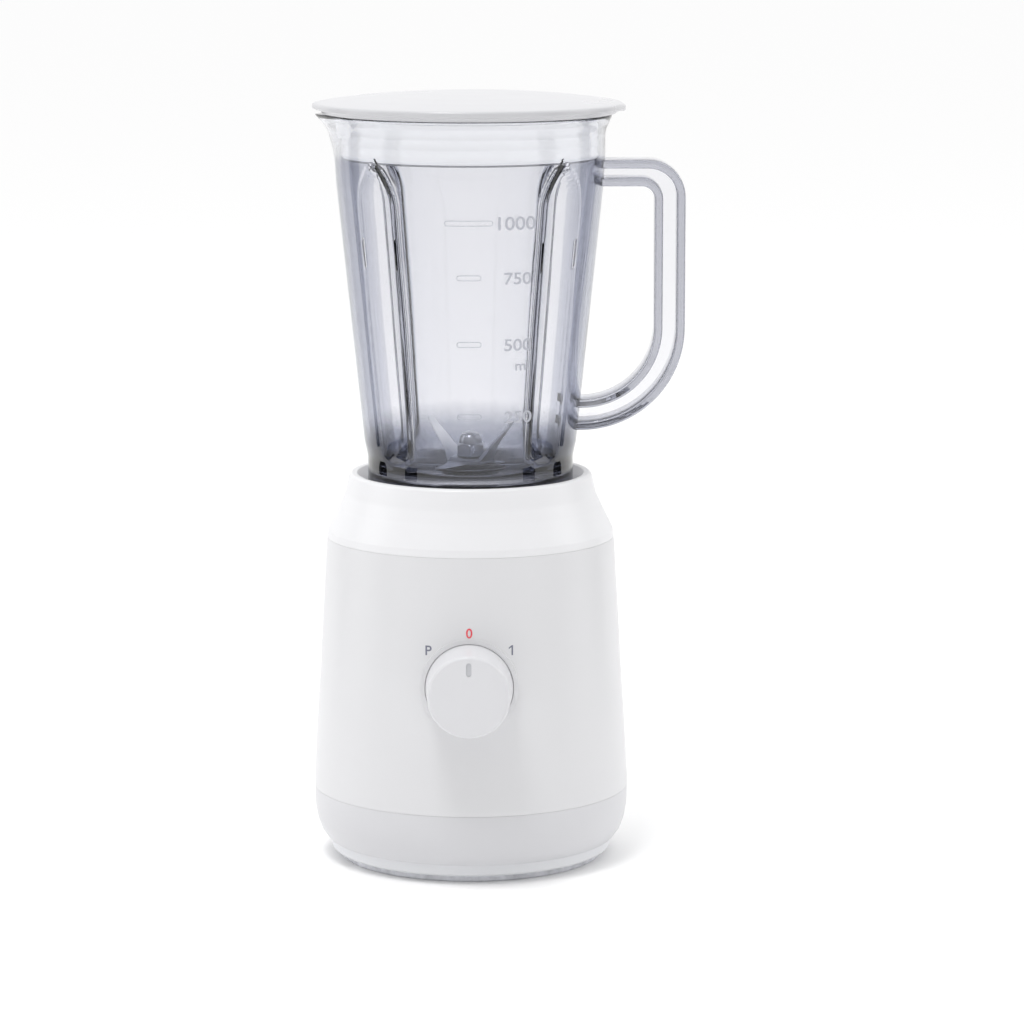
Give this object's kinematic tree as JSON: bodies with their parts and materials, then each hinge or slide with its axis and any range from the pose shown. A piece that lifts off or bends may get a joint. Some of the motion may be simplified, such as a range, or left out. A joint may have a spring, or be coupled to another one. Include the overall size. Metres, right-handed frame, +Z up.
{
  "type": "countertop blender",
  "caption": "Countertop blender with a white tapered motor base, front rotary knob, fluted clear jar with moulded handle and spout, and a plug-in white lid.",
  "frame": {"origin": "on the table, under the common axis of the motor and the jar", "axes": "+Z up along the jar's axis; the knob faces -Y; the jar's handle points along +X and the spout along -X"},
  "size_m": [0.1744, 0.169, 0.36],
  "materials": {
    "white_abs": "satin white moulded ABS",
    "knob_abs": "satin white moulded ABS",
    "grey_abs": "fine-textured pale ABS",
    "rubber": "matte moulded rubber",
    "silicone": "translucent pale silicone",
    "clear_jar": "clear polycarbonate",
    "steel_screw": "zinc-plated steel",
    "lamination": "stacked silicon steel",
    "copper": "enamelled copper",
    "shaft_steel": "ground steel",
    "cast_alloy": "die-cast",
    "black_plastic": "black nylon",
    "carbon": "graphite",
    "bronze": "sintered bronze",
    "driven": "glass-filled nylon"
  },
  "bodies": {
    "base": {"bottom_plate": "grey_abs", "rubber_foot_ring": "rubber", "lower_housing": "white_abs", "main_housing": "white_abs", "top_collar": "white_abs", "base_screws": "steel_screw", "collar_screws": "steel_screw", "stator_core": "lamination", "field_coils": "copper", "lower_bearing": "shaft_steel", "upper_bearing": "shaft_steel", "lower_motor_bracket": "cast_alloy", "upper_motor_bracket": "cast_alloy", "through_bolts": "steel_screw", "motor_mount_rubbers": "rubber", "motor_mount_screws": "steel_screw", "brush_holders": "black_plastic", "carbon_brushes": "carbon", "brush_springs": "shaft_steel", "rotary_switch": "black_plastic", "interlock_switch": "black_plastic", "interlock_spring": "shaft_steel", "cord_gland": "black_plastic", "gland_nut": "black_plastic", "terminal_block": "black_plastic"},
    "rotor": {"motor_shaft": "shaft_steel", "armature_core": "lamination", "armature_windings": "copper", "commutator": "copper", "cooling_fan": "black_plastic", "drip_seal": "rubber", "drive_coupling": "rubber"},
    "knob": {"speed_knob": "knob_abs", "switch_shaft": "shaft_steel"},
    "interlock": {"interlock_pin": "black_plastic"},
    "jar": {"jar": "clear_jar", "boss_gasket": "silicone", "blade_boss": "black_plastic", "boss_nut": "black_plastic", "blade_bush": "bronze"},
    "blades": {"blade_shaft": "shaft_steel", "driven_coupling": "driven", "shaft_clip": "steel_screw", "blade_washer": "steel_screw", "lower_blade": "shaft_steel", "upper_blade": "shaft_steel", "blade_nut": "black_plastic"},
    "lid": {"lid": "white_abs", "lid_gasket": "silicone"}
  },
  "joints": [
    {"name": "motor_spin", "type": "hinge", "parent": "base", "child": "rotor", "pos_m": [0, 0, 0.08], "axis": [0, 0, 1], "continuous": true},
    {"name": "knob_turn", "type": "hinge", "parent": "base", "child": "knob", "pos_m": [0, -0.08, 0.093], "axis": [0, -1, 0], "range_deg": [-45, 45]},
    {"name": "jar_lift", "type": "slide", "parent": "base", "child": "jar", "axis": [0, 0, 1], "range_m": [0, 0.06]},
    {"name": "interlock_press", "type": "slide", "parent": "base", "child": "interlock", "axis": [0, 0, 1], "range_m": [0, 0.003], "deforming": ["interlock_spring"]},
    {"name": "blade_spin", "type": "hinge", "parent": "jar", "child": "blades", "pos_m": [0, 0, 0.18], "axis": [0, 0, 1], "continuous": true},
    {"name": "lid_lift", "type": "slide", "parent": "jar", "child": "lid", "axis": [0, 0, 1], "range_m": [0, 0.04]}
  ],
  "couplings": [
    {"joint": "blade_spin", "follows": "motor_spin", "ratio": 1},
    {"joint": "interlock_press", "follows": "jar_lift", "ratio": 0.05}
  ]
}
